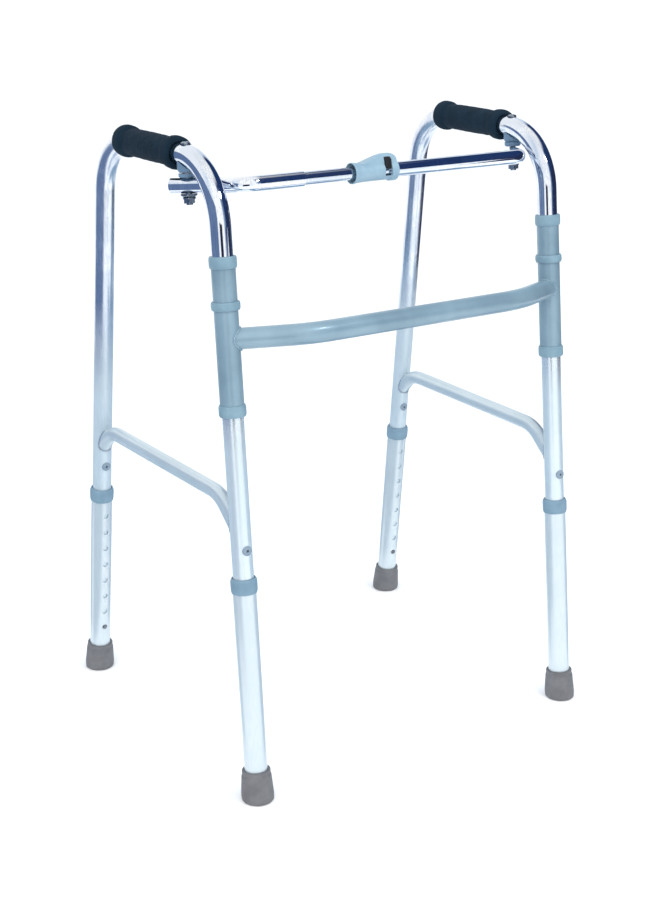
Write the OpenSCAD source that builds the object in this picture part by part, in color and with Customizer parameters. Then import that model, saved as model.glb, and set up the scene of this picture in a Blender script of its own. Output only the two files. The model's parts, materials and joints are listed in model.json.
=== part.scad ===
// Folding walking frame: two side frames that turn inwards on a bowed front arch,
// a telescopic upper bar with a latch, and four telescopic legs with snap buttons.
// Axes: X across the frame, Y from the front (-Y) to the user's side (+Y), Z up, floor at Z = 0.

/* [Overall] */
// Distance between the two front legs at the floor
front_width = 492.7; // [440:0.1:560]
// Distance from the front feet to the rear feet at the floor
base_depth = 439.4; // [380:0.1:500]
// Height of the top rail's axis above the floor
rail_height = 774.4; // [740:0.1:820]
// Backward slope of the front legs from the vertical, in degrees
front_slope = 5.73; // [2:0.01:9]
// Forward slope of the rear legs from the vertical, in degrees
rear_slope = 6.45; // [2:0.01:10]
// Inward lean of each side frame, in degrees
side_lean = 0.4; // [0:0.1:1]
// Outward turn of each side frame at rest, in degrees
toe_out = 1.2; // [0:0.1:3]

/* [Side frame] */
// Outer diameter of the bent side tube
tube_od = 25.4; // [22:0.1:32]
// Wall thickness of the bent side tube
tube_wall = 1.25; // [1:0.05:2]
// Bend radius at the front of the top rail
front_bend = 80; // [60:1:100]
// Bend radius at the rear of the top rail
rear_bend = 75; // [60:1:100]
// Height above the floor at which the side tube ends inside the extensions
tube_foot = 52; // [45:1:60]
// Outer diameter of the lower side brace
brace_od = 19.1; // [19:0.1:25.4]
// Wall thickness of the lower side brace
brace_wall = 1.2; // [1:0.05:2]
// Height of the brace's level part
brace_height = 378; // [340:1:420]
// Height at which the brace meets the rear leg
brace_rear_end = 346; // [330:1:378]
// Height at which the brace meets the front leg
brace_front_end = 340; // [330:1:378]
// Length of the brace's sloping front end
brace_front_run = 46; // [30:1:60]
// Length of the brace's sloping rear end
brace_rear_run = 32; // [26:1:80]
// Bend radius of the brace
brace_bend = 50; // [40:1:60]
// Height of the plugs above the floor
plug_height = 323; // [310:1:335]
// Diameter of a plug's head
plug_head = 12; // [9:0.5:14]
// Thickness of a plug's head
plug_thick = 1.6; // [1:0.1:3]
// Diameter of a plug's dark centre
plug_centre = 5; // [3:0.5:7]

/* [Grips] */
// Distance from the frame's middle to the grip's front face
grip_front = 57; // [40:1:62]
// Distance from the frame's middle to the grip's rear face
grip_rear = 80; // [60:1:84]
// Diameter of the grip between its flanges
grip_body = 34.5; // [30:0.5:40]
// Diameter of the grip's flanges
grip_flange = 40; // [34:0.5:46]
// Width of each flange
grip_flange_width = 15; // [8:1:20]
// Diameter of the groove beside each flange
grip_waist = 33; // [28:0.5:38]

/* [Legs] */
// Outer diameter of the extension tube
ext_od = 28.6; // [27:0.1:34]
// Inner diameter of the extension tube
ext_id = 26.1; // [25.9:0.1:30]
// Height of the extension tube's upper end
ext_top = 276; // [265:1:290]
// Number of adjustment holes
hole_count = 8; // [6:1:10]
// Distance between adjustment holes
hole_pitch = 25.4; // [20:0.1:30]
// Height of the lowest adjustment hole
hole_low = 70.8; // [64:0.1:76]
// Diameter of an adjustment hole
hole_d = 7.3; // [6.8:0.1:9]
// Diameter of a snap button
button_d = 6.6; // [5:0.1:7]
// How far a snap button stands out of the extension tube
button_out = 1.9; // [1:0.1:3]
// Diameter of a snap button's inner flange
button_flange = 9.5; // [8:0.5:11]
// Outer diameter of the collar
collar_od = 32.6; // [31:0.1:36]
// Height of the collar
collar_height = 19; // [12:1:22]
// Diameter of the foot at its top
foot_top_d = 35.5; // [31:0.5:38]
// Diameter of the foot at the floor
foot_d = 41.5; // [36:0.5:50]
// Height of the foot
foot_height = 40; // [30:1:45]

/* [Arch and sleeves] */
// Outer diameter of the arch tube
arch_od = 25.4; // [22:0.1:32]
// Height at which the arch joins the sleeves, along the leg
arch_height = 577; // [540:1:610]
// How far the arch's middle lies in front of the legs
arch_bow = 44; // [20:1:70]
// Distance from the middle to each corner of the arch
arch_corner = 155; // [120:1:180]
// Bend radius of the arch
arch_bend = 120; // [80:1:160]
// Outer diameter of the sleeves
sleeve_od = 28.6; // [27.5:0.1:34]
// Inner diameter of the sleeves
sleeve_id = 26; // [25.9:0.1:28]
// Height of the lower ring's middle, along the leg
ring_low = 493.4; // [470:0.1:520]
// Height of the middle ring's middle, along the leg
ring_mid = 616.3; // [600:0.1:640]
// Height of the upper ring's middle, along the leg
ring_top = 666.2; // [650:0.1:690]
// Outer diameter of the upper and lower rings
ring_od = 32.5; // [30:0.1:38]
// Outer diameter of the middle ring
ring_mid_od = 34.2; // [30:0.1:38]
// Height of the upper and lower rings
ring_height = 14; // [8:1:20]
// Height of the middle ring
ring_mid_height = 10; // [6:1:16]
// Running gap between the rings and the leg
ring_gap = 0.08; // [0.03:0.01:0.1]

/* [Upper bar] */
// Distance of the pivot bolts behind the front legs
bolt_back = 68; // [60:0.5:90]
// Distance of the bar's axis below the top rail's axis
bar_drop = 35; // [33:0.5:45]
// Outer diameter of the end tubes
bar_od = 18.2; // [16:0.1:22.2]
// Inner diameter of the end tubes
bar_id = 16.2; // [14:0.1:20]
// Outer diameter of the sliding middle tube
slider_od = 15.6; // [12:0.1:18]
// Inner diameter of the sliding middle tube
slider_id = 13.4; // [10:0.1:16]
// Distance from the middle to each corner of the bar
bar_corner = 202; // [185:1:210]
// Distance of the bar's straight part behind the front legs
bar_back = 5; // [-30:1:20]
// Bend radius of the end tubes
bar_bend = 28; // [24:1:60]
// Length of each end tube behind its pivot bolt
bar_tail = 22; // [12:1:30]
// Position of the left end tube's inner end
left_tube_end = -126; // [-140:1:-110]
// Position of the right end tube's inner end
right_tube_end = -5; // [-12:1:0]
// Left end of the middle tube
slider_left = -139; // [-146:1:-136]
// Right end of the middle tube
slider_right = 76; // [60:1:90]

/* [Pivot bolts] */
// Diameter of a pivot bolt's shank
bolt_d = 7.9; // [6:0.1:10]
// Diameter of a pivot bolt's domed head
bolt_head = 12; // [10:0.5:18]
// Height of a pivot bolt's domed head
bolt_head_height = 3.6; // [3:0.1:6]
// Diameter of the saddle under the top rail
saddle_d = 23; // [18:0.5:26]
// Diameter of the loose spacer under the saddle
spacer_d = 21; // [16:0.5:26]
// Thickness of the right loose spacer
spacer_thick = 5.5; // [3:0.1:8]
// Play above the left loose spacer, because the left frame tilts a little as it folds
left_play = 0.8; // [0.6:0.1:1.5]
// Diameter of the domed washer under the bar
washer_d = 20; // [16:0.5:26]
// Width of the nut across its flats
nut_flats = 12.7; // [10:0.1:16]
// Height of the nut
nut_height = 6.5; // [4:0.1:8]

/* [Lock] */
// Position of the lock's funnel mouth
lock_left = -58; // [-64:1:-50]
// Position of the lock's right end
lock_right = 5; // [2:1:10]
// Diameter of the funnel mouth
lock_mouth = 25.4; // [22:0.1:28]
// Diameter of the housing's narrow part
lock_neck = 22.6; // [21:0.1:26]
// Diameter of the end ring
lock_ring = 26; // [24:0.5:30]
// Width of the end ring
lock_ring_width = 10; // [8:1:14]
// Bore of the funnel, for the left tube
lock_bore = 19; // [18.8:0.1:21]
// Height of the latch hood above the bar's axis
hood_height = 20.5; // [16:0.5:24]
// Width of the latch hood
hood_width = 17; // [12:0.5:20]
// Width of the latch window
window_width = 9; // [7:0.5:12]
// Height of the latch button's upper face above the bar's axis
latch_top = 16; // [12:0.5:18]
// Width of the latch button across the bar
latch_width = 21; // [16:0.5:24]
// Travel of the latch button
latch_travel = 2.2; // [1:0.1:3]
// Diameter of the latch pin
pin_d = 5; // [4:0.1:6]
// Length of the middle tube's slot for the latch pin
slot_length = 66; // [66:1:80]

/* [Hidden] */
$fn = 72;
gap = 0.3;       // clearance between pieces that move against each other
shaft_gap = 0.08; // running clearance around the right bolt
eps = 0.01;      // overshoot of cutters
far = 2000;      // half size of the block that trims the feet at the floor
seam = 0.02;     // width of the groove between a straight run and a bend
seam_depth = 0.12;
half_base = base_depth / 2;
loose_bore = bolt_d + 2 * shaft_gap; // bore of the pieces that turn on the right bolt
tube_r = tube_od / 2;
front_cos = cos(front_slope);
rear_cos = cos(rear_slope);
// corners of the side tube in its own plane: Y from the front foot, Z up
rail_front = rail_height * tan(front_slope);
rail_rear = base_depth - rail_height * tan(rear_slope);
side_points = [
  [tube_foot * tan(front_slope), tube_foot], [rail_front, rail_height],
  [rail_rear, rail_height], [base_depth - tube_foot * tan(rear_slope), tube_foot]];
side_bends = [front_bend, rear_bend];
// the upper bar lies in a plane square to the front legs
bolt_on_rail = rail_front + bolt_back / front_cos;
rail_reach = bolt_on_rail * sin(front_slope) + rail_height * front_cos;
bar_reach = rail_reach - bar_drop;
pivot_y = bolt_back * cos(toe_out);
pivot_x = front_width / 2 + bolt_back * sin(toe_out)
  - (bar_reach * front_cos - pivot_y * sin(front_slope)) * sin(side_lean);
sleeve_x = front_width / 2 - arch_height * front_cos * sin(side_lean);
tail_dir = ([pivot_x, pivot_y] - [bar_corner, bar_back]) / norm([pivot_x, pivot_y] - [bar_corner, bar_back]);
bar_r = bar_od / 2;
bar_outer = [pivot_x, pivot_y] + bar_tail * tail_dir;
spacer_low = bar_r + gap;
saddle_low = spacer_low + spacer_thick + gap;
washer_top = -bar_r - gap;
washer_thick = 4.2;
bolt_low = washer_top - washer_thick - nut_height - 2;
window_left = lock_right - lock_ring_width - window_width;
pin_x = window_left + window_width / 2;
latch_low = 2.5;
seat_gap = 0.05; // between the saddle and the rail
seat_back = 3;   // where the saddle's seat starts to follow the bend, in front of the bolt
seat_tilt = 10;  // slope of the seat there
middle_r = slider_od / 2;

// ---------- placing ----------

// side frame: Y to the rear from the front foot, Z up, X outwards on the right
module on_right() {
  translate([front_width / 2, -half_base, 0]) rotate([0, -side_lean, 0])
    rotate([-front_slope, 0, 0]) rotate([0, 0, -toe_out]) rotate([front_slope, 0, 0]) children();
}
module on_left() { mirror([1, 0, 0]) on_right() children(); }
// inside a side frame: Z up the front leg or the rear leg from the floor
module up_front() { rotate([-front_slope, 0, 0]) children(); }
module up_rear() { translate([0, base_depth, 0]) rotate([rear_slope, 0, 0]) children(); }
// plane square to the front legs at a distance along them: X across, Y to the rear
module across(reach) {
  translate([0, -half_base, 0]) rotate([-front_slope, 0, 0]) translate([0, 0, reach]) children();
}
// the right pivot bolt's axis, origin on the bar's axis
module at_pivot() { across(bar_reach) translate([pivot_x, pivot_y, 0]) children(); }
// turns the XY plane into the side frame's YZ plane
module into_side() { rotate([90, 0, 90]) children(); }
// turns Z into X, for pieces on the upper bar's straight part
module along_bar() { across(bar_reach) translate([0, bar_back, 0]) children(); }

// ---------- bent tubes in the XY plane ----------

function turn_at(p, c, q) = 180 - acos(((p - c) * (q - c)) / (norm(p - c) * norm(q - c)));
function towards(a, b, d) = a + (b - a) / norm(b - a) * d;
function bend_cut(pts, rads, i) =
  i == 0 || i == len(pts) - 1 ? 0 : rads[i - 1] * tan(turn_at(pts[i - 1], pts[i], pts[i + 1]) / 2);

module bend(p, c, q, rad, r) {
  u = (p - c) / norm(p - c);
  w = (q - c) / norm(q - c);
  mid = (u + w) / norm(u + w);
  turn = turn_at(p, c, q);
  centre = c + mid * rad / cos(turn / 2);
  translate([centre[0], centre[1], 0]) rotate([0, 0, atan2(-mid[1], -mid[0]) - turn / 2])
    rotate_extrude(angle = turn) translate([rad, 0]) circle(r = r);
}
// straight runs and bends meet at a hair-thin groove, bridged by a short core, so that each piece keeps its true surface
module path(pts, rads, r, extra = 0) {
  n = len(pts);
  for (i = [0 : n - 2]) {
    a = towards(pts[i], pts[i + 1], i == 0 ? -extra : bend_cut(pts, rads, i) + seam);
    b = towards(pts[i + 1], pts[i], i == n - 2 ? -extra : bend_cut(pts, rads, i + 1) + seam);
    angle = atan2(b[1] - a[1], b[0] - a[0]);
    translate([a[0], a[1], 0]) rotate([0, 0, angle]) rotate([0, 90, 0]) cylinder(r = r, h = norm(b - a));
    if (i > 0) translate([a[0], a[1], 0]) rotate([0, 0, angle]) rotate([0, 90, 0])
      cylinder(r = r - seam_depth, h = 2, center = true);
    if (i < n - 2) translate([b[0], b[1], 0]) rotate([0, 0, angle]) rotate([0, 90, 0])
      cylinder(r = r - seam_depth, h = 2, center = true);
  }
  for (i = [1 : n - 2]) bend(pts[i - 1], pts[i], pts[i + 1], rads[i - 1], r);
}
module tube(pts, rads, od, wall) {
  difference() {
    path(pts, rads, od / 2);
    path(pts, rads, od / 2 - wall, 1);
  }
}

// ---------- side frame, drawn for the right ----------

// a hole in the wall that faces forward, square to a leg
module wall_hole(height, d, deep) { translate([0, 0, height]) rotate([90, 0, 0]) cylinder(d = d, h = deep); }

module side_tube() {
  difference() {
    on_right() difference() {
      into_side() tube(side_points, side_bends, tube_od, tube_wall);
      up_front() rotate([0, 0, 180]) wall_hole(hole_low / front_cos, hole_d, tube_od);
      up_rear() wall_hole(hole_low / rear_cos, hole_d, tube_od);
      up_front() wall_hole(plug_height / front_cos, plug_centre, tube_od);
      up_rear() wall_hole(plug_height / rear_cos, plug_centre, tube_od);
    }
    at_pivot() cylinder(d = bolt_d + 2 * gap, h = bar_drop + tube_od);
  }
}

module brace() {
  a = [brace_front_end * tan(front_slope), brace_front_end];
  b = [base_depth - brace_rear_end * tan(rear_slope), brace_rear_end];
  pts = [a, [a[0] + brace_front_run, brace_height], [b[0] - brace_rear_run, brace_height], b];
  on_right() difference() {
    into_side() tube(pts, [brace_bend, brace_bend], brace_od, brace_wall);
    up_front() cylinder(d = tube_od, h = 2 * brace_height);
    up_rear() cylinder(d = tube_od, h = 2 * brace_height);
  }
}

module grip() {
  long = grip_front + grip_rear;
  w = grip_flange_width;
  rf = grip_flange / 2;
  rb = grip_body / 2;
  rw = grip_waist / 2;
  on_right() translate([0, half_base - grip_front, rail_height]) rotate([-90, 0, 0]) difference() {
    rotate_extrude() polygon([
      [0, 0], [rf - 4, 0], [rf - 1.2, 1.2], [rf, 4], [rf, w - 5], [rf - 1.2, w - 2], [rw, w + 2], [rw, w + 7],
      [rb, w + 20], [rb + 0.6, long / 2], [rb, long - w - 20], [rw, long - w - 7], [rw, long - w - 2],
      [rf - 1.2, long - w + 2], [rf, long - w + 5], [rf, long - 4], [rf - 1.2, long - 1.2], [rf - 4, long], [0, long]]);
    translate([0, 0, -1]) cylinder(d = tube_od, h = long + 2);
    // the rear end opens out where the rail starts to bend
    translate([0, 0, long - 20]) cylinder(d1 = tube_od, d2 = tube_od + 5.5, h = 20 + eps);
  }
}

module plug(height) {
  translate([0, 0, height]) rotate([90, 0, 0]) difference() {
    union() {
      translate([0, 0, tube_r - 4]) cylinder(d = plug_centre, h = 4);
      difference() {
        union() {
          translate([0, 0, tube_r - 2]) cylinder(d = plug_head, h = 2 + plug_thick / 2);
          translate([0, 0, tube_r + plug_thick / 2]) cylinder(d1 = plug_head, d2 = plug_head - 3, h = plug_thick / 2);
        }
        rotate([90, 0, 0]) cylinder(d = tube_od, h = 2 * plug_head, center = true);
      }
    }
    translate([0, 0, tube_r - 1]) cylinder(d = plug_centre - 1.6, h = 4);
  }
}
module plugs() {
  on_right() up_front() plug(plug_height / front_cos);
  on_right() up_rear() plug(plug_height / rear_cos);
}

// ---------- pivot bolts, drawn for the right ----------

module bolt_from(low) {
  top = bar_drop + tube_r - 1;
  difference() {
    union() {
      difference() {
        at_pivot() translate([0, 0, top]) rotate_extrude() polygon([
          [0, 0], [bolt_head / 2, 0], [bolt_head / 2, 1.8], [bolt_head / 2 - 1.2, bolt_head_height - 0.8],
          [bolt_head / 2 - 3, bolt_head_height], [0, bolt_head_height]]);
        on_right() translate([0, rail_front, rail_height]) rotate([-90, 0, 0]) cylinder(d = tube_od, h = base_depth / 2);
      }
      at_pivot() translate([0, 0, low]) cylinder(d = bolt_d, h = top + 1 - low);
    }
    at_pivot() translate([0, 0, top + bolt_head_height - 1.8]) cylinder(d = 4.6, h = 3, $fn = 6);
  }
}
module saddle() {
  difference() {
    at_pivot() translate([0, 0, saddle_low]) union() {
      cylinder(d1 = saddle_d - 4, d2 = saddle_d, h = 3);
      translate([0, 0, 3]) cylinder(d = saddle_d, h = bar_drop - 5.5 - saddle_low);
    }
    // seat under the rail, and under the start of its bend
    on_right() translate([0, rail_front, rail_height]) rotate([-90, 0, 0])
      cylinder(d = tube_od + 2 * seat_gap, h = base_depth / 2);
    on_right() translate([0, bolt_on_rail - seat_back, rail_height]) rotate([90 + seat_tilt, 0, 0])
      cylinder(d = tube_od + 4 * gap, h = 2 * saddle_d, center = true);
    at_pivot() cylinder(d = bolt_d, h = bar_drop + tube_od);
  }
}
module spacer(bore, thick) {
  at_pivot() translate([0, 0, spacer_low]) difference() {
    union() {
      cylinder(d = spacer_d - 2.4, h = 1);
      translate([0, 0, 1]) cylinder(d = spacer_d, h = thick - 1);
    }
    translate([0, 0, -1]) cylinder(d = bore, h = thick + 2);
  }
}
// lower half of the left bolt, up to the top of its spacer
module bolt_end() {
  at_pivot() translate([0, 0, bolt_low]) cylinder(d = bolt_d, h = spacer_low + spacer_thick - left_play - bolt_low);
}
module washer(bore) {
  at_pivot() translate([0, 0, washer_top - washer_thick]) difference() {
    union() {
      cylinder(d1 = washer_d - 7, d2 = washer_d, h = 2.4);
      translate([0, 0, 2.4]) cylinder(d = washer_d, h = washer_thick - 2.4);
    }
    translate([0, 0, -1]) cylinder(d = bore, h = washer_thick + 2);
  }
}
module nut(bore) {
  at_pivot() translate([0, 0, washer_top - washer_thick - nut_height]) difference() {
    union() {
      cylinder(d = nut_flats / cos(30), h = nut_height, $fn = 6);
      translate([0, 0, nut_height - 1.6]) cylinder(d = nut_flats + 3, h = 1.6);
    }
    translate([0, 0, -1]) cylinder(d = bore, h = nut_height + 2);
  }
}

// ---------- legs, Z up the leg from the floor ----------

module above_floor() {
  difference() {
    children();
    translate([-far, -far, -far]) cube([2 * far, 2 * far, far]);
  }
}
module extension(slope_cos) {
  difference() {
    translate([0, 0, 10]) cylinder(d = ext_od, h = ext_top - 10);
    translate([0, 0, 9]) cylinder(d = ext_id, h = ext_top);
    for (k = [0 : hole_count - 1]) wall_hole(hole_low / slope_cos + k * hole_pitch, hole_d, ext_od);
  }
}
module collar() {
  difference() {
    union() {
      translate([0, 0, ext_top - 6]) cylinder(d1 = collar_od - 1.6, d2 = collar_od, h = 2);
      translate([0, 0, ext_top - 4]) cylinder(d = collar_od, h = collar_height - 4);
      translate([0, 0, ext_top + collar_height - 8]) cylinder(d1 = collar_od, d2 = collar_od - 3, h = 2);
    }
    translate([0, 0, ext_top - 7]) cylinder(d = ext_od, h = 7);
    translate([0, 0, ext_top - 1]) cylinder(d = tube_od + 2 * gap, h = collar_height);
  }
}
module foot() {
  difference() {
    union() {
      translate([0, 0, -4]) cylinder(d = foot_d, h = 10);
      translate([0, 0, 6]) cylinder(d1 = foot_d, d2 = foot_top_d + 1.5, h = foot_height - 12);
      translate([0, 0, foot_height - 6]) cylinder(d = foot_top_d, h = 6);
    }
    translate([0, 0, 10]) cylinder(d = ext_od, h = foot_height);
  }
}
module button(slope_cos) {
  base = tube_r - tube_wall - 2.4;
  tip = ext_od / 2 + button_out;
  translate([0, 0, hole_low / slope_cos]) rotate([90, 0, 0]) {
    translate([0, 0, base]) cylinder(d = button_flange, h = 1.2);
    translate([0, 0, base]) cylinder(d = button_d, h = tip - 1.2 - base);
    translate([0, 0, tip - 1.2]) cylinder(d1 = button_d, d2 = button_d - 2.4, h = 1.2);
  }
}
// front legs have their holes at the rear, rear legs at the front
module front_leg() { on_right() up_front() rotate([0, 0, 180]) children(); }
module rear_leg() { on_right() up_rear() children(); }

// ---------- arch, sleeves, rings ----------

module sleeve_solid(d, extra) {
  on_right() up_front() translate([0, 0, ring_low - extra]) cylinder(d = d, h = ring_top - ring_low + 2 * extra);
}
module sleeve() {
  difference() {
    sleeve_solid(sleeve_od, 0);
    sleeve_solid(sleeve_id, 1);
  }
}
module cross_arch() {
  pts = [[-sleeve_x, 0], [-arch_corner, -arch_bow], [arch_corner, -arch_bow], [sleeve_x, 0]];
  difference() {
    across(arch_height) tube(pts, [arch_bend, arch_bend], arch_od, 1.5);
    sleeve_solid(sleeve_od, 1);
    mirror([1, 0, 0]) sleeve_solid(sleeve_od, 1);
  }
}
module ring_body(d, high) {
  translate([0, 0, -high / 2]) cylinder(d1 = d - 1.4, d2 = d, h = 0.7);
  translate([0, 0, 0.7 - high / 2]) cylinder(d = d, h = high - 1.4);
  translate([0, 0, high / 2 - 0.7]) cylinder(d1 = d, d2 = d - 1.4, h = 0.7);
}
// an end ring closes over the sleeve's end and runs on the leg
module end_ring(reach, side) {
  on_right() up_front() translate([0, 0, reach]) difference() {
    ring_body(ring_od, ring_height);
    cylinder(d = tube_od + 2 * ring_gap, h = 2 * ring_height, center = true);
    translate([0, 0, side > 0 ? -ring_height : 0]) cylinder(d = sleeve_od, h = ring_height);
  }
}
module middle_ring() {
  on_right() up_front() translate([0, 0, ring_mid]) difference() {
    ring_body(ring_mid_od, ring_mid_height);
    cylinder(d = sleeve_od, h = 2 * ring_mid_height, center = true);
  }
}

// ---------- upper bar ----------

module end_tube(inner) {
  pts = [[inner, bar_back], [bar_corner, bar_back], bar_outer];
  across(bar_reach) difference() {
    tube(pts, [bar_bend], bar_od, (bar_od - bar_id) / 2);
    translate([pivot_x, pivot_y, -bar_od]) cylinder(d = inner > 0 ? bolt_d : loose_bore, h = 2 * bar_od);
  }
}
module middle_tube() {
  along_bar() difference() {
    translate([slider_left, 0, 0]) rotate([0, 90, 0]) cylinder(d = slider_od, h = slider_right - slider_left);
    translate([slider_left - 1, 0, 0]) rotate([0, 90, 0]) cylinder(d = slider_id, h = slider_right - slider_left + 2);
    // slot for the latch pin
    translate([pin_x + pin_d / 2 + gap - slot_length, -pin_d / 2 - gap, 0]) cube([slot_length, pin_d + 2 * gap, slider_od]);
  }
}
module hood() { // raised cover over the latch
  back = lock_right - 1;
  front = lock_left + 12;
  intersection() {
    translate([0, hood_width / 2, 0]) rotate([90, 0, 0]) linear_extrude(height = hood_width) polygon([
      [front, 4], [front, 10.5], [front + 10, 13.4], [front + 20, 16.8], [window_left - 6, hood_height - 1.6],
      [window_left - 1, hood_height - 0.3], [window_left + 3, hood_height], [back - 8, hood_height], [back - 4, hood_height - 1.2],
      [back - 1.2, hood_height - 3.6], [back, hood_height - 6.5], [back, 4]]);
    translate([front - 1, 0, 0]) rotate([90, 0, 90]) linear_extrude(height = back - front + 2) polygon([
      [-hood_width / 2, 0], [-hood_width / 2, 11], [-hood_width / 2 + 1.2, 15.5], [-hood_width / 2 + 3.4, 18.6],
      [-2.6, hood_height - 0.2], [0, hood_height], [2.6, hood_height - 0.2],
      [hood_width / 2 - 3.4, 18.6], [hood_width / 2 - 1.2, 15.5], [hood_width / 2, 11], [hood_width / 2, 0]]);
  }
}
module lock_housing() {
  ring_left = lock_right - lock_ring_width;
  along_bar() difference() {
    union() {
      translate([lock_left, 0, 0]) rotate([0, 90, 0]) rotate_extrude() polygon([
        [0, 0], [lock_mouth / 2, 0], [lock_mouth / 2, 2], [lock_mouth / 2 - 0.9, 8],
        [lock_neck / 2, 18], [lock_neck / 2, ring_left - lock_left + 1], [0, ring_left - lock_left + 1]]);
      translate([ring_left, 0, 0]) rotate([0, 90, 0]) rotate_extrude() polygon([
        [0, 0], [lock_ring / 2 - 0.8, 0], [lock_ring / 2, 0.8], [lock_ring / 2, lock_ring_width - 0.8],
        [lock_ring / 2 - 0.8, lock_ring_width], [0, lock_ring_width]]);
      hood();
    }
    // funnel bore for the left tube, and the seat of the right tube
    translate([lock_left - 1, 0, 0]) rotate([0, 90, 0]) cylinder(d = lock_bore, h = right_tube_end - lock_left + 1);
    translate([lock_left - eps, 0, 0]) rotate([0, 90, 0]) cylinder(d1 = lock_mouth - 2, d2 = lock_bore, h = 9);
    rotate([0, 90, 0]) cylinder(d = bar_od, h = lock_right + 1);
    translate([right_tube_end, 0, 0]) rotate([0, 90, 0]) cylinder(d = bar_od, h = lock_right + 1 - right_tube_end);
    // window for the latch
    translate([window_left, -lock_ring, -6]) cube([window_width, 2 * lock_ring, latch_top + gap + 6]);
  }
}
module latch_button() {
  w = window_width - 2 * gap;
  along_bar() translate([pin_x, 0, 0]) {
    difference() {
      translate([-w / 2, -latch_width / 2, latch_low]) cube([w, latch_width, latch_top - latch_low]);
      for (z = [0, latch_travel]) translate([-w, 0, z]) rotate([0, 90, 0]) cylinder(d = slider_od + 2 * gap, h = 2 * w);
      // rounded shoulders
      for (s = [-1, 1]) translate([-w, s * latch_width / 2, latch_top]) rotate([45, 0, 0])
        translate([0, -2, -2]) cube([2 * w, 4, 4]);
    }
    translate([0, 0, slider_id / 2 - 2]) cylinder(d = pin_d, h = latch_top - slider_id / 2);
  }
}

// ---------- colours and drawing ----------

module paint() color([0.55, 0.66, 0.73]) children();
module moulding() color([0.49, 0.62, 0.70]) children();
module metal() color([0.86, 0.88, 0.90]) children();
module bolts() color([0.60, 0.62, 0.64]) children();
module foam() color([0.12, 0.14, 0.17]) children();
module rubber() color([0.48, 0.48, 0.50]) children();
module black() color([0.06, 0.06, 0.07]) children();
module left() mirror([1, 0, 0]) children();

paint() cross_arch();
paint() left() sleeve();  // left_sleeve
paint() sleeve();  // right_sleeve
moulding() left() end_ring(ring_top, 1);  // left_upper_ring
moulding() left() middle_ring();  // left_middle_ring
moulding() left() end_ring(ring_low, -1);  // left_lower_ring
moulding() end_ring(ring_top, 1);  // right_upper_ring
moulding() middle_ring();  // right_middle_ring
moulding() end_ring(ring_low, -1);  // right_lower_ring
metal() left() side_tube();  // left_side_tube
metal() side_tube();  // right_side_tube
metal() left() brace();  // left_brace
metal() brace();  // right_brace
foam() left() grip();  // left_grip
foam() grip();  // right_grip
moulding() left() plugs();  // left_plugs
moulding() plugs();  // right_plugs
bolts() left() bolt_from(saddle_low);  // left_pivot_head
bolts() bolt_from(bolt_low);  // right_pivot_bolt
moulding() left() saddle();  // left_saddle
moulding() saddle();  // right_saddle
moulding() left() spacer(bolt_d, spacer_thick - left_play);  // left_spacer
moulding() spacer(loose_bore, spacer_thick);  // right_spacer
bolts() left() bolt_end();  // left_bolt_end
bolts() left() washer(bolt_d);  // left_washer
bolts() washer(loose_bore);  // right_washer
bolts() left() nut(bolt_d);  // left_nut
bolts() nut(loose_bore);  // right_nut
metal() left() front_leg() extension(front_cos);  // left_front_extension
metal() left() rear_leg() extension(rear_cos);  // left_rear_extension
metal() front_leg() extension(front_cos);  // right_front_extension
metal() rear_leg() extension(rear_cos);  // right_rear_extension
moulding() left() front_leg() collar();  // left_front_collar
moulding() left() rear_leg() collar();  // left_rear_collar
moulding() front_leg() collar();  // right_front_collar
moulding() rear_leg() collar();  // right_rear_collar
rubber() left() above_floor() front_leg() foot();  // left_front_foot
rubber() left() above_floor() rear_leg() foot();  // left_rear_foot
rubber() above_floor() front_leg() foot();  // right_front_foot
rubber() above_floor() rear_leg() foot();  // right_rear_foot
bolts() left() front_leg() button(front_cos);  // left_front_button
bolts() left() rear_leg() button(rear_cos);  // left_rear_button
bolts() front_leg() button(front_cos);  // right_front_button
bolts() rear_leg() button(rear_cos);  // right_rear_button
metal() left() end_tube(-left_tube_end);  // left_bar_tube
metal() middle_tube();  // middle_bar_tube
metal() end_tube(right_tube_end);  // right_bar_tube
moulding() lock_housing();
black() latch_button();
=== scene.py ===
"""Looks of the folding walking frame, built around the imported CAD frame. Metres, Z up, -Y is the front."""
import json
import math

import bmesh
import bpy
from mathutils import Matrix, Vector


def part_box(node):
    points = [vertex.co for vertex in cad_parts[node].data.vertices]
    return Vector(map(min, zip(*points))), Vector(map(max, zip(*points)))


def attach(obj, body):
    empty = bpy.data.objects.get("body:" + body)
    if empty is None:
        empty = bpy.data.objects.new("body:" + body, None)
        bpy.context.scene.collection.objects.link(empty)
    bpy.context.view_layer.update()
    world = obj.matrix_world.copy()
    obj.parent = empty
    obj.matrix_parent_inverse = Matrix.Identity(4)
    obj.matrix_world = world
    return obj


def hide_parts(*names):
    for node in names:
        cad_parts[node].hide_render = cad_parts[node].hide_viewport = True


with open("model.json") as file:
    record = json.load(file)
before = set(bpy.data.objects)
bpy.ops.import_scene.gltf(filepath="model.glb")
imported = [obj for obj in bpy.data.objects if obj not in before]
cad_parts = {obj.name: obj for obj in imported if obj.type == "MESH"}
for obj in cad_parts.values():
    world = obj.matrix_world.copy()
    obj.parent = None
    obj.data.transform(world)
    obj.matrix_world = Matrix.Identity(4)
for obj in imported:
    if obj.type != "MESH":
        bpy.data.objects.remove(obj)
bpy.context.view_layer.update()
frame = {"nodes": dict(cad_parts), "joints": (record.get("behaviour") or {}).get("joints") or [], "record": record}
NODES = frame["nodes"]
RECORD = frame["record"]
JOINTS = {j["name"]: j for j in frame["joints"]}
SOLES = {m["name"]: Vector(m["pos_m"]) for m in RECORD["mounts"] if m["name"].endswith("_sole")}
SIDES = ("left", "right")
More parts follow.
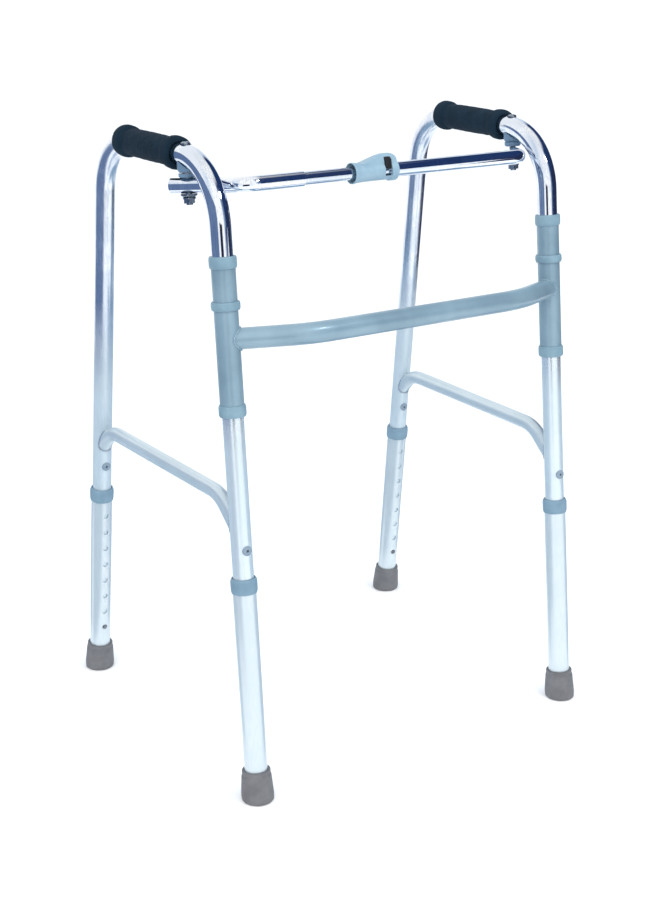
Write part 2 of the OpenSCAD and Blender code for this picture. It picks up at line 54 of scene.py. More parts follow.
LEGS = [(side, end) for side in SIDES for end in ("front", "rear")]

# ---------- sizes, as in the CAD ----------
MM = 0.001
TUBE_R = 12.7 * MM
EXTENSION_R = 14.3 * MM  # also the sleeves of the arch
FOOT_NECK_R = 17.75 * MM
BRACE_R = 9.55 * MM
BRACE_LEVEL = 378 * MM
BRACE_FRONT = (340 * MM, 46 * MM)  # height where it meets the leg, and run up to the level part
BRACE_REAR = (346 * MM, 32 * MM)
ARCH_JOINT = 577 * MM  # along the front leg, from its sole
ARCH_CORNER = 155 * MM  # where the bow begins, across from the middle
ARCH_BOW = 44 * MM

# ---------- camera ----------
CAMERA_PLACE = Vector((-1.0768, -1.6547, 1.0257))
CAMERA_YAW = math.radians(33.15)  # turned from +Y towards +X
CAMERA_PITCH = math.radians(18.96)  # downwards
CAMERA_LENS = 83.41  # for a sensor whose width is the picture's width
SENSOR_WIDTH = 36.0
IMAGE_ASPECT = 900 / 660  # height over width


def make_camera():
    data = bpy.data.cameras.new("camera")
    data.sensor_width = SENSOR_WIDTH
    data.lens = CAMERA_LENS / IMAGE_ASPECT  # the sensor's width lies along the picture's longer side
    data.clip_start = 0.05
    data.clip_end = 60.0
    camera = bpy.data.objects.new("camera", data)
    bpy.context.scene.collection.objects.link(camera)
    camera.location = CAMERA_PLACE
    camera.rotation_euler = (math.pi / 2 - CAMERA_PITCH, 0.0, -CAMERA_YAW)
    bpy.context.scene.camera = camera


# ---------- node helpers ----------
MIX_FIRST, MIX_SECOND, MIX_RESULT = 6, 7, 2  # the mix node's colour sockets
PLAIN = (1.0, 1.0, 1.0)  # coordinates left unscaled
ALONG_TUBE = (260.0, 260.0, 7.0)  # streaks drawn out along a standing tube


def new_material(name):
    material = bpy.data.materials.new(name)
    material.use_nodes = True
    tree = material.node_tree
    return material, tree, tree.nodes["Principled BSDF"]


def add(tree, kind, **values):
    """A node with its properties set."""
    node = tree.nodes.new(kind)
    for key, value in values.items():
        setattr(node, key, value)
    return node


def link(tree, a, b):
    tree.links.new(a, b)


def stretched(tree, scale):
    """Object coordinates in metres, scaled along each axis."""
    coords = add(tree, "ShaderNodeTexCoord")
    mapping = add(tree, "ShaderNodeMapping")
    mapping.inputs["Scale"].default_value = scale
    link(tree, coords.outputs["Object"], mapping.inputs["Vector"])
    return mapping.outputs["Vector"]


def noise(tree, vector, scale, detail=3.0, roughness=0.5):
    node = add(tree, "ShaderNodeTexNoise")
    node.inputs["Scale"].default_value = scale
    node.inputs["Detail"].default_value = detail
    node.inputs["Roughness"].default_value = roughness
    link(tree, vector, node.inputs["Vector"])
    return node.outputs["Fac"]


def ramp(tree, value, stops):
    """A colour from a value, by (position, colour) stops."""
    node = add(tree, "ShaderNodeValToRGB")
    elements = node.color_ramp.elements
    while len(elements) < len(stops):
        elements.new(0.5)
    for element, (position, colour) in zip(elements, stops):
        element.position = position
        element.color = (*colour, 1.0)
    link(tree, value, node.inputs["Fac"])
    return node.outputs["Color"]


def between(tree, value, low, high, to_low=0.0, to_high=1.0):
    """Maps low..high to to_low..to_high, and holds it there outside."""
    node = add(tree, "ShaderNodeMapRange")
    for label, number in (("From Min", low), ("From Max", high), ("To Min", to_low), ("To Max", to_high)):
        node.inputs[label].default_value = number
    link(tree, value, node.inputs["Value"])
    return node.outputs["Result"]


def mixed(tree, factor, first, second):
    """A blend of two colours: first at 0, second at 1. second may be a plain colour."""
    node = add(tree, "ShaderNodeMix", data_type="RGBA")
    link(tree, factor, node.inputs["Factor"])
    link(tree, first, node.inputs[MIX_FIRST])
    if isinstance(second, tuple):
        node.inputs[MIX_SECOND].default_value = (*second, 1.0)
    else:
        link(tree, second, node.inputs[MIX_SECOND])
    return node.outputs[MIX_RESULT]


def joined(tree, operation, first, second):
    """A maths operation on two values."""
    node = add(tree, "ShaderNodeMath", operation=operation)
    link(tree, first, node.inputs[0])
    link(tree, second, node.inputs[1])
    return node.outputs[0]


def bump(tree, shader, height, strength, distance):
    node = add(tree, "ShaderNodeBump")
    node.inputs["Strength"].default_value = strength
    node.inputs["Distance"].default_value = distance
    link(tree, height, node.inputs["Height"])
    link(tree, node.outputs["Normal"], shader.inputs["Normal"])


def shade(low, high):
    """Two stops round a colour, for a slight drift in tone."""
    return [(0.3, low), (0.7, high)]


# ---------- materials ----------
POLISH_ENDS = (0.44, 0.56)  # heights between which the polish fades into the satin finish
REAR_STARTS = (0.0, 0.12)  # places along Y between which the rougher rear begins


def drawn(tree, shader):
    """The fine lengthwise streaks of drawn metal, with their bump, and a patchier drift made from them."""
    streaks = noise(tree, stretched(tree, ALONG_TUBE), 3.0, 4.0)
    clouds = noise(tree, stretched(tree, PLAIN), 22.0, 2.0)
    bump(tree, shader, streaks, 0.025, 0.0002)
    return streaks, between(tree, joined(tree, "MULTIPLY", streaks, clouds), 0.15, 0.4)


def metal(name, low, high, rough, metallic=1.0):
    """Drawn metal with the same finish all over."""
    material, tree, shader = new_material(name)
    streaks, drift = drawn(tree, shader)
    link(tree, ramp(tree, drift, shade(low, high)), shader.inputs["Base Color"])
    shader.inputs["Metallic"].default_value = metallic
    link(tree, between(tree, streaks, 0.3, 0.7, rough - 0.01, rough + 0.02), shader.inputs["Roughness"])
    return material


def frame_metal(name, polished, satin):
    """Aluminium of the side frames: polished above, satin anodised towards the floor, duller at the rear.
    polished and satin are pairs of colours."""
    material, tree, shader = new_material(name)
    streaks, drift = drawn(tree, shader)
    split = add(tree, "ShaderNodeSeparateXYZ")
    link(tree, stretched(tree, PLAIN), split.inputs[0])
    rise = between(tree, split.outputs["Z"], *POLISH_ENDS)
    tone = mixed(tree, rise, ramp(tree, drift, shade(*satin)), ramp(tree, drift, shade(*polished)))
    link(tree, tone, shader.inputs["Base Color"])
    link(tree, between(tree, rise, 0.0, 1.0, 0.6, 1.0), shader.inputs["Metallic"])
    level = between(tree, rise, 0.0, 1.0, 0.34, 0.07)
    wear = between(tree, streaks, 0.3, 0.7, -0.01, 0.02)
    rear = between(tree, split.outputs["Y"], *REAR_STARTS, 0.0, 0.18)
    rough = joined(tree, "ADD", level, joined(tree, "ADD", wear, rear))
    link(tree, rough, shader.inputs["Roughness"])
    return material


def paint(name, low, high):
    """Metallic paint with fine flakes and a thin clear coat."""
    material, tree, shader = new_material(name)
    plain = stretched(tree, PLAIN)
    flakes = noise(tree, plain, 1600.0, 1.0)
    drift = noise(tree, plain, 18.0, 3.0)
    both = add(tree, "ShaderNodeMath", operation="MULTIPLY_ADD")
    both.inputs[1].default_value = 0.35
    link(tree, flakes, both.inputs[0])
    link(tree, between(tree, drift, 0.3, 0.7, 0.1, 0.55), both.inputs[2])
    link(tree, ramp(tree, both.outputs[0], shade(low, high)), shader.inputs["Base Color"])
    shader.inputs["Metallic"].default_value = 0.25
    link(tree, between(tree, flakes, 0.3, 0.7, 0.3, 0.42), shader.inputs["Roughness"])
    shader.inputs["Coat Weight"].default_value = 0.3
    shader.inputs["Coat Roughness"].default_value = 0.12
    bump(tree, shader, noise(tree, plain, 520.0, 2.0), 0.06, 0.0003)
    return material


def plastic(name, low, high, rough=0.42):
    """Moulded plastic with a fine spark-eroded grain."""
    material, tree, shader = new_material(name)
    plain = stretched(tree, PLAIN)
    drift = noise(tree, plain, 60.0, 3.0)
    grit = noise(tree, plain, 1500.0, 2.0)
    link(tree, ramp(tree, drift, shade(low, high)), shader.inputs["Base Color"])
    link(tree, between(tree, drift, 0.3, 0.7, rough - 0.06, rough + 0.06), shader.inputs["Roughness"])
    bump(tree, shader, grit, 0.12, 0.0002)
    return material


def foam(name):
    """Closed-cell foam: a pebbled skin, slightly shiny on the cells' tops."""
    material, tree, shader = new_material(name)
    plain = stretched(tree, PLAIN)
    cells = add(tree, "ShaderNodeTexVoronoi", feature="SMOOTH_F1")
    cells.inputs["Scale"].default_value = 620.0
    link(tree, plain, cells.inputs["Vector"])
    fine = noise(tree, plain, 2200.0, 2.0)
    drift = noise(tree, plain, 40.0, 4.0)
    height = add(tree, "ShaderNodeMath", operation="MULTIPLY_ADD")
    height.inputs[1].default_value = 0.35
    link(tree, fine, height.inputs[0])
    link(tree, cells.outputs["Distance"], height.inputs[2])
    colour = ramp(tree, drift, [(0.25, (0.004, 0.014, 0.026)), (0.75, (0.008, 0.023, 0.040))])
    link(tree, colour, shader.inputs["Base Color"])
    link(tree, between(tree, cells.outputs["Distance"], 0.0, 0.6, 0.62, 0.85), shader.inputs["Roughness"])
    shader.inputs["Specular IOR Level"].default_value = 0.12
    bump(tree, shader, height.outputs[0], 0.55, 0.0006)
    return material


def rubber(name):
    """Matt moulded rubber with paler, scuffed blotches."""
    material, tree, shader = new_material(name)
    plain = stretched(tree, PLAIN)
    blotches = noise(tree, plain, 55.0, 5.0, 0.6)
    speckle = noise(tree, plain, 900.0, 2.0)
    tone = ramp(tree, blotches, shade((0.105, 0.107, 0.117), (0.160, 0.163, 0.174)))
    link(tree, tone, shader.inputs["Base Color"])
    link(tree, between(tree, blotches, 0.3, 0.7, 0.55, 0.72), shader.inputs["Roughness"])
    bump(tree, shader, speckle, 0.25, 0.0004)
    return material


def weld(name):
    """Solidified bead: dull aluminium with overlapping ripples."""
    material, tree, shader = new_material(name)
    plain = stretched(tree, PLAIN)
    grain = noise(tree, plain, 420.0, 4.0)
    tone = ramp(tree, grain, shade((0.42, 0.45, 0.50), (0.72, 0.75, 0.80)))
    link(tree, tone, shader.inputs["Base Color"])
    shader.inputs["Metallic"].default_value = 1.0
    link(tree, between(tree, grain, 0.3, 0.7, 0.24, 0.45), shader.inputs["Roughness"])
    bump(tree, shader, grain, 0.25, 0.0003)
    return material


def make_materials():
    bright = ((0.70, 0.75, 0.83), (0.88, 0.91, 0.95))
    satin = ((0.66, 0.755, 0.80), (0.70, 0.795, 0.84))
    return {
        "frame_tube": frame_metal("frame_tube", bright, satin),
        # the braces: the frame's satin metal made darker, as painted shade
        "brace_tube_painted_shade": metal("brace_tube_painted_shade", (0.56, 0.65, 0.70), (0.60, 0.69, 0.74), 0.34, 0.6),
        "bar_tube": metal("bar_tube", *bright, 0.06),
        "slider_tube": metal("slider_tube", (0.62, 0.67, 0.75), (0.80, 0.84, 0.90), 0.09),
        "leg_tube": metal("leg_tube", (0.585, 0.665, 0.705), (0.615, 0.695, 0.735), 0.3, 0.5),
        "arch_paint": paint("arch_paint", (0.175, 0.275, 0.345), (0.23, 0.345, 0.42)),
        "ring_plastic": plastic("ring_plastic", (0.15, 0.25, 0.32), (0.19, 0.31, 0.38)),
        "collar_plastic": plastic("collar_plastic", (0.14, 0.235, 0.315), (0.175, 0.285, 0.375)),
        "saddle_plastic": plastic("saddle_plastic", (0.08, 0.15, 0.24), (0.12, 0.21, 0.32)),
        "lock_plastic": plastic("lock_plastic", (0.20, 0.325, 0.42), (0.26, 0.39, 0.48)),
        "plug_plastic": plastic("plug_plastic", (0.16, 0.22, 0.29), (0.22, 0.29, 0.36)),
        "latch_black": plastic("latch_black", (0.006, 0.006, 0.008), (0.015, 0.015, 0.018), 0.35),
        "steel": metal("steel", (0.26, 0.31, 0.36), (0.42, 0.47, 0.52), 0.26),
        "button_steel": metal("button_steel", (0.16, 0.17, 0.19), (0.28, 0.30, 0.33), 0.3),
        "grip_foam": foam("grip_foam"),
        "foot_rubber": rubber("foot_rubber"),
        "weld": weld("weld"),
    }


def dress_nodes():
    """Gives every CAD node its material. The braces share the frame's slot, but get a darker copy of its metal:
    painted shade.
    """
    for part in RECORD["subparts"]:
        node = NODES[part["node"]]
        look = "brace_tube_painted_shade" if part["node"].endswith("_brace") else part["material_slot"]
        node.data.materials.clear()
        node.data.materials.append(MATERIALS[look])


# ---------- geometry helpers ----------
LATHE_SEGMENTS = 128
FOOT_SEGMENTS = 96
BEAD_STEPS = 160  # along a weld bead
BEAD_SIDES = 12  # round it
BEAD_RIPPLES = 26
BEAD_LIFT = 0.1 * MM  # of the bead's line above the tubes' skins


def axes_at(origin, axis, hint=Vector((0.0, -1.0, 0.0))):
    """A matrix whose Z is the axis and whose Y lies nearest to the hint."""
    z = axis.normalized()
    x = hint.cross(z).normalized()
    y = z.cross(x)
    matrix = Matrix((x, y, z)).transposed().to_4x4()
    matrix.translation = origin
    return matrix


def measure(node, matrix):
    """Lowest and highest place of a CAD node along the matrix's Z, and its largest radius round it."""
    back = matrix.inverted()
    points = [back @ v.co for v in NODES[node].data.vertices]
    heights = [p.z for p in points]
    return min(heights), max(heights), max(math.hypot(p.x, p.y) for p in points)


def make_object(name, mesh, body, slot_name, material=None):
    """Puts a finished mesh in the scene, on its CAD body and with its material."""
    for face in mesh.polygons:
        face.use_smooth = True
    mesh.materials.append(MATERIALS[material or slot_name])
    piece = bpy.data.objects.new(name, mesh)
    bpy.context.scene.collection.objects.link(piece)
    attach(piece, body)
    return piece


def finished(name, mesh):
    """Mesh data made from a bmesh, which is then freed."""
    data = bpy.data.meshes.new(name)
    mesh.to_mesh(data)
    mesh.free()
    return data


def skin(name, rows):
    """A closed skin over rows of points. Each row closes on itself, and the last row meets the first."""
    mesh = bmesh.new()
    rings = [[mesh.verts.new(point) for point in row] for row in rows]
    for i, ring in enumerate(rings):
        following = rings[(i + 1) % len(rings)]
        for k in range(len(ring)):
            n = (k + 1) % len(ring)
            mesh.faces.new((ring[k], following[k], following[n], ring[n]))
    bmesh.ops.recalc_face_normals(mesh, faces=mesh.faces)
    return finished(name, mesh)


def turned(outline, segments, place):
    """Rows of points for a closed outline of (radius, height) turned round Z. place puts each point."""
    angles = [2 * math.pi * i / segments for i in range(segments)]
    return [[place(angle, radius, height) for radius, height in outline] for angle in angles]


def lathe(name, outline, matrix, dent):
    """A turned outline. dent(angle, radius, height) gives the radius there."""
    def place(angle, radius, height):
        radius = dent(angle, radius, height)
        return matrix @ Vector((radius * math.cos(angle), radius * math.sin(angle), height))

    return skin(name, turned(outline, LATHE_SEGMENTS, place))


def rounded(corners, steps):
    """A closed outline whose corners (radius, height, rounding) are turned into arcs."""
    points = []
    count = len(corners)
    for i in range(count):
        here = Vector(corners[i][:2])
        before = Vector(corners[i - 1][:2])
        after = Vector(corners[(i + 1) % count][:2])
        reach = corners[i][2]
        if reach <= 0:
            points.append(tuple(here))
            continue
        start = here + (before - here).normalized() * reach
        end = here + (after - here).normalized() * reach
        for k in range(steps + 1):
            t = k / steps
            points.append(tuple(start * (1 - t) ** 2 + here * 2 * t * (1 - t) + end * t ** 2))
    return points


# ---------- where things are ----------
def leg_matrix(side, end):
    up = -Vector(JOINTS[f"{side}_{end}_leg_slide"]["axis"])
    return axes_at(SOLES[f"{side}_{end}_sole"], up)


def grip_matrix(side):
    """Z runs along the top rail, from the front end of the grip to its rear end."""
    along = SOLES[f"{side}_rear_sole"] - SOLES[f"{side}_front_sole"]
    low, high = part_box(f"{side}_grip")
    middle = (low + high) / 2
    matrix = axes_at(middle, along, Vector((0.0, 0.0, 1.0)))
    bottom, top, radius = measure(f"{side}_grip", matrix)
    return matrix @ Matrix.Translation((0.0, 0.0, bottom)), top - bottom, radius


# ---------- pieces ----------
def make_grip(side):
    """Foam grip with a flange at each end, a groove beside it and a slightly crowned, pebbled body."""
    matrix, length, flange = grip_matrix(side)
    body = flange - 2.9 * MM
    waist = flange - 3.6 * MM
    edge = 15.0 * MM

    def end_part(sign, start):
        return [
            (TUBE_R + 0.15 * MM, start + sign * 0.6 * MM, 0.0),
            (TUBE_R + 1.6 * MM, start, 0.8 * MM),
            (flange - 0.2 * MM, start, 4.2 * MM),
            (flange, start + sign * edge * 0.55, 3.0 * MM),
            (flange - 0.3 * MM, start + sign * edge, 2.4 * MM),
            (waist, start + sign * (edge + 3.0 * MM), 1.6 * MM),
            (waist, start + sign * (edge + 7.0 * MM), 2.4 * MM),
            (body, start + sign * (edge + 15.0 * MM), 5.0 * MM),
        ]

    front = end_part(1, 0.0)
    rear = end_part(-1, length)
    crown = [(body + 0.35 * MM, length * 0.5, 12.0 * MM)]
    outline = rounded(front + crown + rear[::-1], 7)
    middle = length / 2
    dense = []
    for i in range(len(outline) - 1):
        a, b = Vector(outline[i]), Vector(outline[i + 1])
        parts = max(1, round((b - a).length / (1.6 * MM)))
        dense += [tuple(a.lerp(b, k / parts)) for k in range(parts)]
    dense.append(outline[-1])

    def dent(angle, radius, height):
        """Slight waves, stronger towards the flanges. The bore stays round."""
        if radius < TUBE_R + 1.0 * MM:
            return radius
        wave = 0.16 * math.sin(5 * angle + 260 * height) + 0.12 * math.sin(3 * angle - 410 * height)
        return radius + wave * MM * (0.4 + 0.6 * abs(height - middle) / middle) - 0.2 * MM

    mesh = lathe(f"{side}_grip_skin", dense, matrix, dent)
    piece = make_object(f"{side}_grip_skin", mesh, f"{side}_frame", "grip_foam")
    texture = bpy.data.textures.new(f"{side}_grip_pebbles", "CLOUDS")
    texture.noise_scale = 0.0022
    texture.noise_depth = 1
    pebbles = piece.modifiers.new("pebbles", "DISPLACE")
    pebbles.texture = texture
    pebbles.texture_coords = "GLOBAL"
    pebbles.strength = 0.35 * MM
    pebbles.mid_level = 0.6
    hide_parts(f"{side}_grip")


def make_foot(side, end):
    """Tapered rubber foot with a rolled rim, a rounded sole edge and a tread of rings under it."""
    node = f"{side}_{end}_foot"
    matrix = leg_matrix(side, end)
    _, high, wide = measure(node, matrix)
    neck = FOOT_NECK_R
    bore = EXTENSION_R + 0.1 * MM
    groove = 1.2 * MM  # depth of the tread's grooves
    sole = wide - 0.3 * MM
    near_sole = 12.0 * MM
    floor_tilt = matrix.inverted().to_3x3() @ Vector((0.0, 0.0, 1.0))
    tread = []
    for k in range(4):
        r = (3.5 + 4.0 * k) * MM
        tread += [(r, 0.0, 0.0), (r + 2.2 * MM, 0.0, 0.0)]
        tread += [(r + 2.6 * MM, groove, 0.0), (r + 3.6 * MM, groove, 0.0)]
    corners = [(0.02 * MM, groove, 0.0), (3.0 * MM, groove, 0.0)] + tread + [
        (sole - 0.6 * MM, 0.0, 1.6 * MM),
        (sole, 7.0 * MM, 2.2 * MM),
        (neck + 0.9 * MM, high - 7.4 * MM, 1.4 * MM),
        (neck - 0.1 * MM, high - 6.2 * MM, 0.8 * MM),
        (neck, high - 4.6 * MM, 0.8 * MM),
        (neck, high, 1.7 * MM),
        (bore, high, 0.6 * MM),
        (bore, high - 8.0 * MM, 0.0),
        (0.02 * MM, high - 8.0 * MM, 0.0),
    ]

    def place(angle, radius, height):
        """Near the sole, heights are counted from the floor and not square to the leg."""
        point = Vector((radius * math.cos(angle), radius * math.sin(angle), height))
        share = max(0.0, 1.0 - height / near_sole)
        point.z -= share * (floor_tilt.x * point.x + floor_tilt.y * point.y) / floor_tilt.z
        return matrix @ point

    mesh = skin(f"{node}_rubber", turned(rounded(corners, 5), FOOT_SEGMENTS, place))
    piece = make_object(f"{node}_rubber", mesh, f"{side}_{end}_leg", "foot_rubber")
    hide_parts(node)


def ring_outline(low, high, outer, inner):
    """Section of a moulded ring: rounded rims, and a middle raised by a faint lip."""
    lip = 0.35 * MM
    return rounded([
        (inner, low + 0.2 * MM, 0.0),
        (outer - 0.7 * MM, low, 0.9 * MM),
        (outer - lip, low + 1.6 * MM, 0.5 * MM),
        (outer, low + 2.6 * MM, 0.8 * MM),
        (outer, high - 2.6 * MM, 0.8 * MM),
        (outer - lip, high - 1.6 * MM, 0.5 * MM),
        (outer - 0.7 * MM, high, 0.9 * MM),
        (inner, high - 0.2 * MM, 0.0),
    ], 5)


def parting_line(angle, radius, height):
    """Two thin flash lines where the mould halves met."""
    return radius + (0.12 * MM if abs(math.sin(angle)) < 0.03 else 0.0)


def make_collar(side, end):
    """Moulded collar: narrow above, round the tube, and wide below, round the extension."""
    node = f"{side}_{end}_collar"
    matrix = leg_matrix(side, end)
    low, high, wide = measure(node, matrix)
    step = low + 6.0 * MM
    outline = rounded([
        (EXTENSION_R + 0.05 * MM, low, 0.0),
        (wide - 0.8 * MM, low, 0.8 * MM),
        (wide - 0.1 * MM, low + 3.4 * MM, 1.2 * MM),
        (wide, high - 4.0 * MM, 1.6 * MM),
        (wide - 1.5 * MM, high - 0.2 * MM, 1.1 * MM),
        (TUBE_R + 0.7 * MM, high, 0.5 * MM),
        (TUBE_R + 0.35 * MM, high - 2.0 * MM, 0.0),
        (TUBE_R + 0.35 * MM, step, 0.0),
        (EXTENSION_R + 0.05 * MM, step, 0.0),
    ], 6)
    mesh = lathe(f"{node}_moulding", outline, matrix, parting_line)
    piece = make_object(f"{node}_moulding", mesh, f"{side}_{end}_leg", "collar_plastic")
    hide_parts(node)


def make_rings(side):
    matrix = leg_matrix(side, "front")
    for level in ("upper", "middle", "lower"):
        node = f"{side}_{level}_ring"
        low, high, wide = measure(node, matrix)
        # the middle ring sits on the sleeve, the other two cap its ends
        inner = EXTENSION_R + 0.02 * MM if level == "middle" else TUBE_R + 0.12 * MM
        outline = ring_outline(low, high, wide, inner)
        mesh = lathe(f"{node}_moulding", outline, matrix, parting_line)
        piece = make_object(f"{node}_moulding", mesh, "arch", "ring_plastic")
        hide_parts(node)


# ---------- weld beads ----------
def bead(name, matrix, direction, branch_r, trunk_r, thick, body, slot_name, material):
    """A rippled bead where a branch tube meets a trunk tube. matrix has its Z along the trunk and its origin
    where the axes cross, and direction is the branch's direction in its axes."""
    d = direction.normalized()
    u = d.cross(Vector((0.0, 0.0, 1.0))).normalized()
    w = d.cross(u)
    line = []
    for i in range(BEAD_STEPS):
        angle = 2 * math.pi * i / BEAD_STEPS
        offset = (u * math.cos(angle) + w * math.sin(angle)) * (branch_r + BEAD_LIFT)
        # where the branch's side line leaves the trunk: the larger root of a t^2 + b t + c = 0
        a = d.x ** 2 + d.y ** 2
        b = 2 * (offset.x * d.x + offset.y * d.y)
        c = offset.x ** 2 + offset.y ** 2 - (trunk_r + BEAD_LIFT) ** 2
        root = max(b * b - 4 * a * c, 0.0)
        line.append(offset + d * ((-b + math.sqrt(root)) / (2 * a)))
    rows = []
    for i, point in enumerate(line):
        forward = (line[(i + 1) % BEAD_STEPS] - line[i - 1]).normalized()
        out = (point - Vector((0.0, 0.0, point.z))).normalized()
        side = forward.cross(out).normalized()
        out = side.cross(forward)
        ripple = 1.0 + 0.16 * math.sin(2 * math.pi * BEAD_RIPPLES * i / BEAD_STEPS) + 0.06 * math.sin(i * 0.7)
        reach = thick * ripple
        row = []
        for k in range(BEAD_SIDES):
            turn = 2 * math.pi * k / BEAD_SIDES
            row.append(matrix @ (point + side * math.cos(turn) * reach + out * math.sin(turn) * reach))
        rows.append(row)
    make_object(name, skin(name, rows), body, slot_name, material)


def along_leg(side, end, height):
    """Matrix on a leg's axis at a height above the floor."""
    matrix = leg_matrix(side, end)
    slope = matrix.to_3x3() @ Vector((0.0, 0.0, 1.0))
    return matrix @ Matrix.Translation((0.0, 0.0, height / slope.z))


def make_welds():
    """Beads at both ends of each brace and at both ends of the arch."""
    for side in SIDES:
        level = (SOLES[f"{side}_rear_sole"] - SOLES[f"{side}_front_sole"]).normalized()
        for end, (height, run), sign in (("front", BRACE_FRONT, 1), ("rear", BRACE_REAR, -1)):
            matrix = along_leg(side, end, height)
            world = level * sign * run + Vector((0.0, 0.0, BRACE_LEVEL - height))
            direction = matrix.inverted().to_3x3() @ world
            bead(f"{side}_{end}_brace_weld", matrix, direction, BRACE_R, TUBE_R, 1.1 * MM,
                 f"{side}_frame", "frame_tube", "weld")
        matrix = leg_matrix(side, "front") @ Matrix.Translation((0.0, 0.0, ARCH_JOINT))
        mirror = -1 if side == "left" else 1
        joint = matrix.translation
        square = matrix.to_3x3() @ Vector((0.0, 1.0, 0.0))
        corner = Vector((mirror * ARCH_CORNER, joint.y, joint.z)) + square * ARCH_BOW
        direction = matrix.inverted().to_3x3() @ (corner - joint)
        bead(f"{side}_arch_weld", matrix, direction, TUBE_R, EXTENSION_R, 1.5 * MM,
             "arch", "arch_paint", "arch_paint")


# ---------- moulded and metal pieces rounded off from their CAD shapes ----------
def softened(node, name, body, slot_name, voxel, passes):
    """A rounded copy of a CAD node, for moulded pieces whose real edges are soft."""
    mesh = NODES[node].data.copy()
    mesh.name = name
    mesh.materials.clear()
    piece = make_object(name, mesh, body, slot_name)
    remesh = piece.modifiers.new("remesh", "REMESH")
    remesh.mode = "VOXEL"
    remesh.voxel_size = voxel
    remesh.use_smooth_shade = True
    smooth = piece.modifiers.new("smooth", "SMOOTH")
    smooth.factor = 0.5
    smooth.iterations = passes
    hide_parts(node)


def soften_all():
    softened("lock_housing", "lock_housing_moulding", "bar_right", "lock_plastic", 0.45 * MM, 6)
    softened("latch_button", "latch_button_moulding", "latch", "latch_black", 0.25 * MM, 3)
    for side in SIDES:
        softened(f"{side}_saddle", f"{side}_saddle_moulding", f"{side}_frame", "saddle_plastic",
                 0.4 * MM, 5)


def bevel_nodes():
    """Small bevels on hard edges of the metal pieces."""
    pairs = [f"{side}_{piece}" for piece in ("nut", "washer", "spacer") for side in SIDES]
    for node in pairs + ["left_pivot_head", "right_pivot_bolt"]:
        edge = NODES[node].modifiers.new("edge", "BEVEL")
        edge.width = 0.35 * MM
        edge.segments = 3
        edge.limit_method = "ANGLE"
        edge.angle_limit = math.radians(40)


# ---------- studio ----------
FLOOR_REACH = 14.0
FLOOR_DROP = 0.3 * MM  # so that the soles don't flicker in it


def make_floor():
    mesh = bmesh.new()
    bmesh.ops.create_grid(mesh, x_segments=8, y_segments=8, size=FLOOR_REACH)
    data = finished("floor", mesh)
    floor = bpy.data.objects.new("floor", data)
    bpy.context.scene.collection.objects.link(floor)
    floor.location.z = -FLOOR_DROP
    material, tree, shader = new_material("floor_paper")
    soft = noise(tree, stretched(tree, PLAIN), 3.0)
    tone = ramp(tree, soft, shade((0.94, 0.94, 0.94), (0.96, 0.96, 0.96)))
    link(tree, tone, shader.inputs["Base Color"])
    shader.inputs["Roughness"].default_value = 0.9
    data.materials.append(material)


def area_light(name, place, target, size, power):
    """A soft light that no reflection shows."""
    data = bpy.data.lights.new(name, "AREA")
    data.shape = "RECTANGLE"
    data.size, data.size_y = size
    data.energy = power
    light = bpy.data.objects.new(name, data)
    bpy.context.scene.collection.objects.link(light)
    light.location = place
    light.rotation_euler = (Vector(target) - Vector(place)).to_track_quat("-Z", "Y").to_euler()
    light.visible_glossy = False
    return light


def reflection_card(name, foot, turn, width, height, low, colour):
    """A standing panel that only reflections show. turn is its width's direction, in degrees from +X."""
    across = Vector((math.cos(math.radians(turn)), math.sin(math.radians(turn)), 0.0)) * width / 2
    base = Vector((*foot, low))
    up = Vector((0.0, 0.0, height))
    corners = (base - across, base + across, base + across + up, base - across + up)
    mesh = bmesh.new()
    mesh.faces.new([mesh.verts.new(corner) for corner in corners])
    data = finished(name, mesh)
    card = bpy.data.objects.new(name, data)
    bpy.context.scene.collection.objects.link(card)
    for ray in ("camera", "diffuse", "transmission", "volume_scatter", "shadow"):
        setattr(card, f"visible_{ray}", False)
    material = bpy.data.materials.new(name)
    material.use_nodes = True
    tree = material.node_tree
    tree.nodes.clear()
    glow = add(tree, "ShaderNodeEmission")
    glow.inputs["Color"].default_value = (*colour, 1.0)
    output = add(tree, "ShaderNodeOutputMaterial")
    link(tree, glow.outputs[0], output.inputs["Surface"])
    data.materials.append(material)


WHITE, PALE, MID, DARK = (1.1, 1.1, 1.1), (0.74, 0.84, 0.95), (0.24, 0.34, 0.52), (0.016, 0.04, 0.13)
HORIZON = [  # what the polished tubes mirror round about: degrees from +Y towards +X, and colour
    (-180, WHITE), (-130, WHITE), (-95, PALE), (-60, WHITE), (30, WHITE),
    (48, PALE), (56, DARK), (150, DARK), (162, MID), (172, WHITE),
]
SKY_STARTS = (0.80, 0.93)  # rises between which the mirrored horizon fades into a white sky
SOFT_FROM = (-0.62, -0.78, 0.0)  # where the soft light is strongest: the front left
SOFT_LIGHT = [(0.0, (0.62, 0.78, 0.98)), (0.5, (1.12, 1.14, 1.17)), (1.0, (1.6, 1.6, 1.6))]
BACKDROP = (1.12, 1.12, 1.12)  # what the camera sees behind the object
PANEL_BLUE = (0.26, 0.40, 0.56)


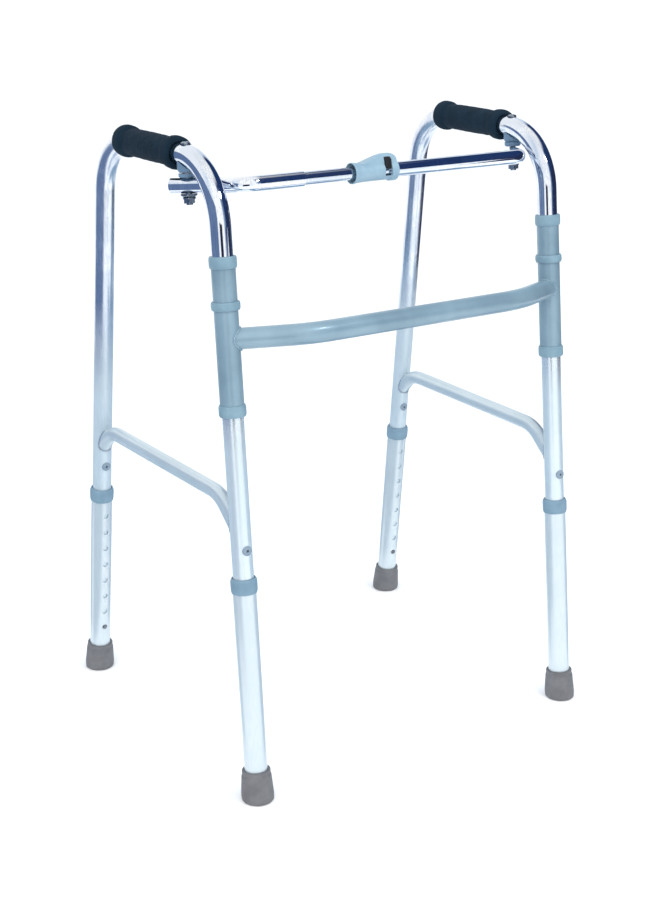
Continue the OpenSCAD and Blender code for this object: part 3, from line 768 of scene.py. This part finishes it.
def make_world():
    """White surroundings for the camera, a soft light, and a horizon, dark on the right, for reflections."""
    world = bpy.data.worlds.new("studio")
    bpy.context.scene.world = world
    world.use_nodes = True
    tree = world.node_tree
    tree.nodes.clear()
    ray = add(tree, "ShaderNodeTexCoord").outputs["Generated"]
    split = add(tree, "ShaderNodeSeparateXYZ")
    link(tree, ray, split.inputs[0])
    azimuth = joined(tree, "ARCTAN2", split.outputs["X"], split.outputs["Y"])
    stops = [((degrees + 180) / 360, colour) for degrees, colour in HORIZON]
    horizon = ramp(tree, between(tree, azimuth, -math.pi, math.pi), stops)
    mirrored = mixed(tree, between(tree, split.outputs["Z"], *SKY_STARTS), horizon, (1.0, 1.0, 1.0))
    facing = add(tree, "ShaderNodeVectorMath", operation="DOT_PRODUCT")
    facing.inputs[1].default_value = SOFT_FROM
    link(tree, ray, facing.inputs[0])
    soft = ramp(tree, between(tree, facing.outputs["Value"], -1.0, 1.0), SOFT_LIGHT)
    rays = add(tree, "ShaderNodeLightPath")
    chosen = mixed(tree, rays.outputs["Is Glossy Ray"], soft, mirrored)
    background = add(tree, "ShaderNodeBackground")
    link(tree, mixed(tree, rays.outputs["Is Camera Ray"], chosen, BACKDROP), background.inputs["Color"])
    output = add(tree, "ShaderNodeOutputWorld")
    link(tree, background.outputs[0], output.inputs["Surface"])


def make_leg_cards():
    """Panels beside each leg, edge-on to the camera: they draw the soft bands along the lower tubes."""
    away = Vector((math.sin(CAMERA_YAW), math.cos(CAMERA_YAW), 0.0))
    right = Vector((away.y, -away.x, 0.0))
    for side, end in LEGS:
        for name, shift in (("a", -0.12), ("b", 0.12)):
            foot = SOLES[f"{side}_{end}_sole"] + right * shift
            clear_of_frame = end == "front" and name == "a"
            foot += Vector((0.0, 0.2, 0.0)) if clear_of_frame else away * 0.22
            turn = 90.0 if clear_of_frame else 90.0 - math.degrees(CAMERA_YAW)
            reflection_card(f"card_{side}_{end}_{name}", foot.xy, turn, 0.40, 0.42, 0.0, PANEL_BLUE)


def make_studio():
    make_world()
    reflection_card("card_front", (-0.79, -1.38), -33.0, 0.62, 0.75, 0.12, (0.02, 0.025, 0.06))
    reflection_card("card_right", (1.35, -0.35), 80.0, 2.1, 1.1, 0.05, (0.02, 0.03, 0.08))
    reflection_card("card_left", (-0.78, 0.32), 88.0, 1.75, 1.0, 0.0, (0.14, 0.21, 0.37))
    make_leg_cards()
    area_light("key", (-1.6, -1.4, 2.6), (0.0, 0.0, 0.4), (1.6, 1.6), 16.0)
    area_light("fill", (2.2, -0.8, 1.6), (0.0, 0.0, 0.4), (1.4, 1.8), 6.0)
    sparkle = area_light("sparkle", (0.47, -1.45, 2.05), (-0.1, -0.2, 0.55), (0.26, 0.26), 8.0)
    sparkle.visible_glossy = True


make_camera()
MATERIALS = make_materials()
dress_nodes()
for side_name in SIDES:
    make_grip(side_name)
    make_rings(side_name)
for side_name, end_name in LEGS:
    make_foot(side_name, end_name)
    make_collar(side_name, end_name)
make_welds()
soften_all()
bevel_nodes()
make_floor()
make_studio()
bpy.context.scene.view_settings.view_transform = "Standard"
